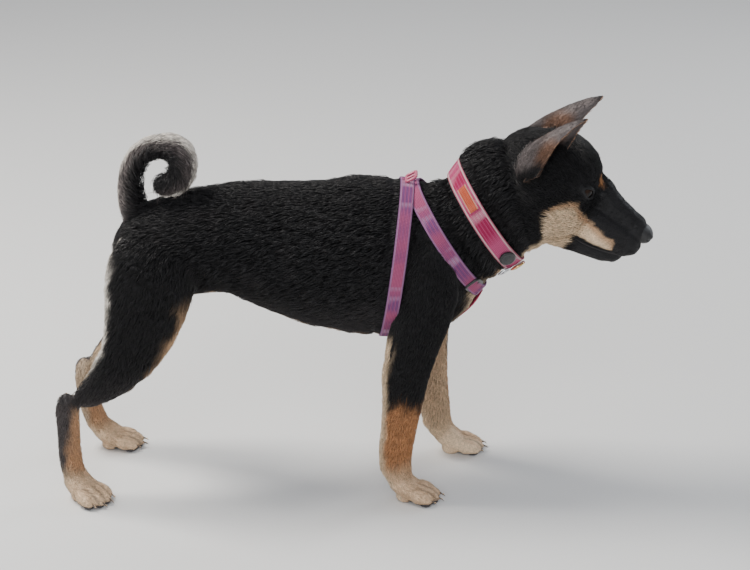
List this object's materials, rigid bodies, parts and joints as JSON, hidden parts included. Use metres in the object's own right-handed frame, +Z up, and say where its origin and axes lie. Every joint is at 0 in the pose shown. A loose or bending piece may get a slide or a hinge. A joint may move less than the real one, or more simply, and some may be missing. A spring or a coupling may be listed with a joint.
{
  "type": "shiba inu puppy",
  "caption": "Standing young black and tan shiba inu with a curled tail, in a webbing collar and harness; a still life-size model.",
  "frame": {"origin": "on the floor under the middle of the bounding box", "axes": "+X towards the nose, +Y to the animal's left, +Z up"},
  "size_m": [0.5634, 0.157, 0.3776],
  "materials": {
    "coat_black": "short dense black coat",
    "coat_grey": "short grey-black coat",
    "coat_tan": "short tan coat",
    "coat_cream": "short cream coat",
    "nose_leather": "moist grained black nose leather",
    "eye": "wet dark brown eye",
    "webbing": "woven pink and white webbing",
    "plastic": "smooth black plastic",
    "steel": "bright wire",
    "tag": "bare red disc with a gilt ring"
  },
  "bodies": {
    "root": {"torso": "coat_black", "neck": "coat_black", "head": "coat_black", "tail_base": "coat_grey", "tail_middle": "coat_grey", "tail_tip": "coat_grey", "ear_left": "coat_grey", "ear_right": "coat_grey", "foreleg_left": "coat_black", "foreleg_right": "coat_black", "thigh_left": "coat_black", "thigh_right": "coat_black", "hock_left": "coat_tan", "hock_right": "coat_tan", "forepaw_left": "coat_cream", "forepaw_right": "coat_cream", "hindpaw_left": "coat_cream", "hindpaw_right": "coat_cream", "nose": "nose_leather", "eye_left": "eye", "eye_right": "eye", "collar": "webbing", "harness_girth": "webbing", "harness_neck": "webbing", "harness_breast": "webbing", "harness_slider": "plastic", "chest_slider": "plastic", "collar_buckle": "plastic", "collar_ring": "steel", "name_tag": "tag", "shank_left": "coat_black", "shank_right": "coat_black"}
  },
  "joints": []
}
